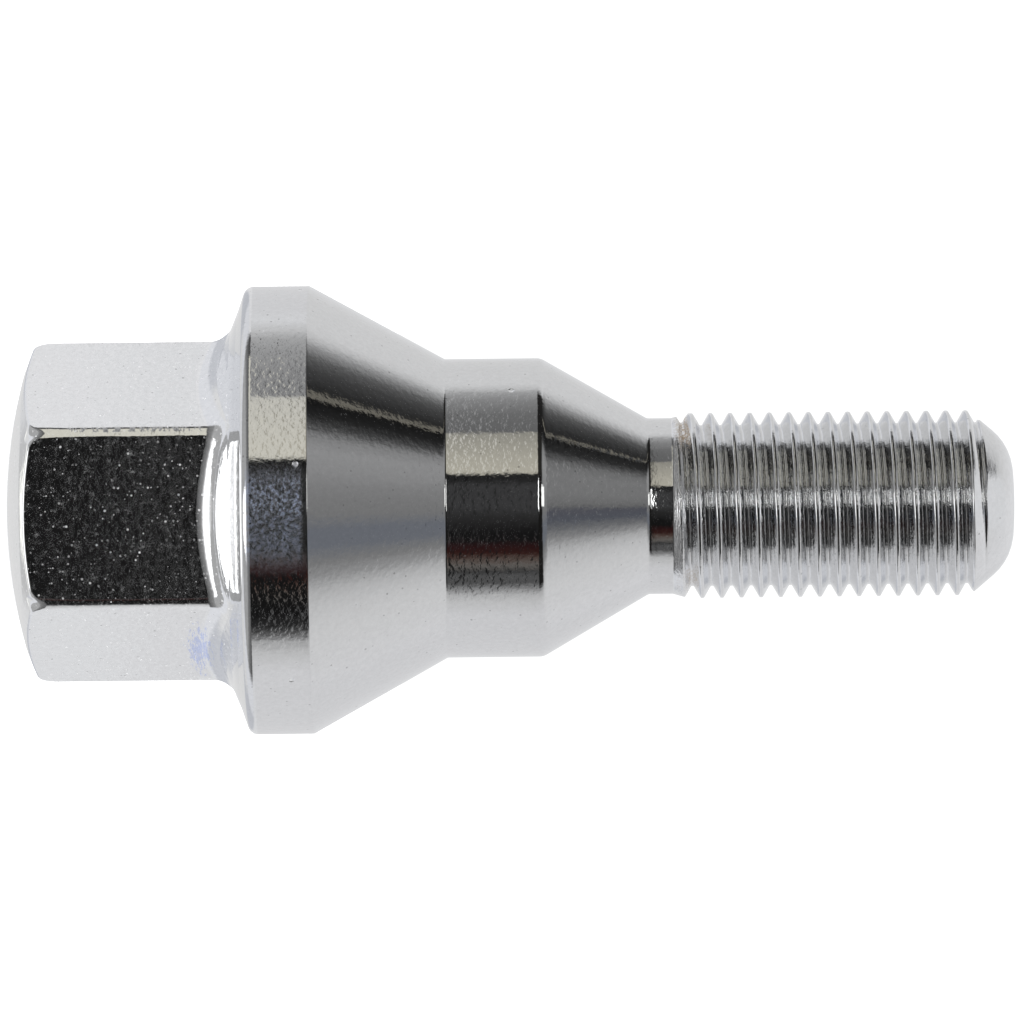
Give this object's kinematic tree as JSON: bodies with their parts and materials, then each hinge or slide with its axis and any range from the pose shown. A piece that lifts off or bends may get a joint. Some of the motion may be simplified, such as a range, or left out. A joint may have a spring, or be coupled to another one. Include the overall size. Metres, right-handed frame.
{
  "type": "wheel bolt",
  "caption": "Chrome-plated steel wheel bolt: domed hexagonal head, round flange, conical seat, straight neck, lead-in cone and fine right-hand thread.",
  "frame": {"origin": "middle of the small flat that ends the domed head, on the bolt's axis", "axes": "+Z along the axis from the head to the thread's tip, and -Y out of one flat of the hexagon"},
  "size_m": [0.0286, 0.0286, 0.0641],
  "materials": {
    "chrome_steel": "bright chrome plate with fine pits"
  },
  "bodies": {
    "root": {"wheel_bolt": "chrome_steel"}
  },
  "joints": []
}
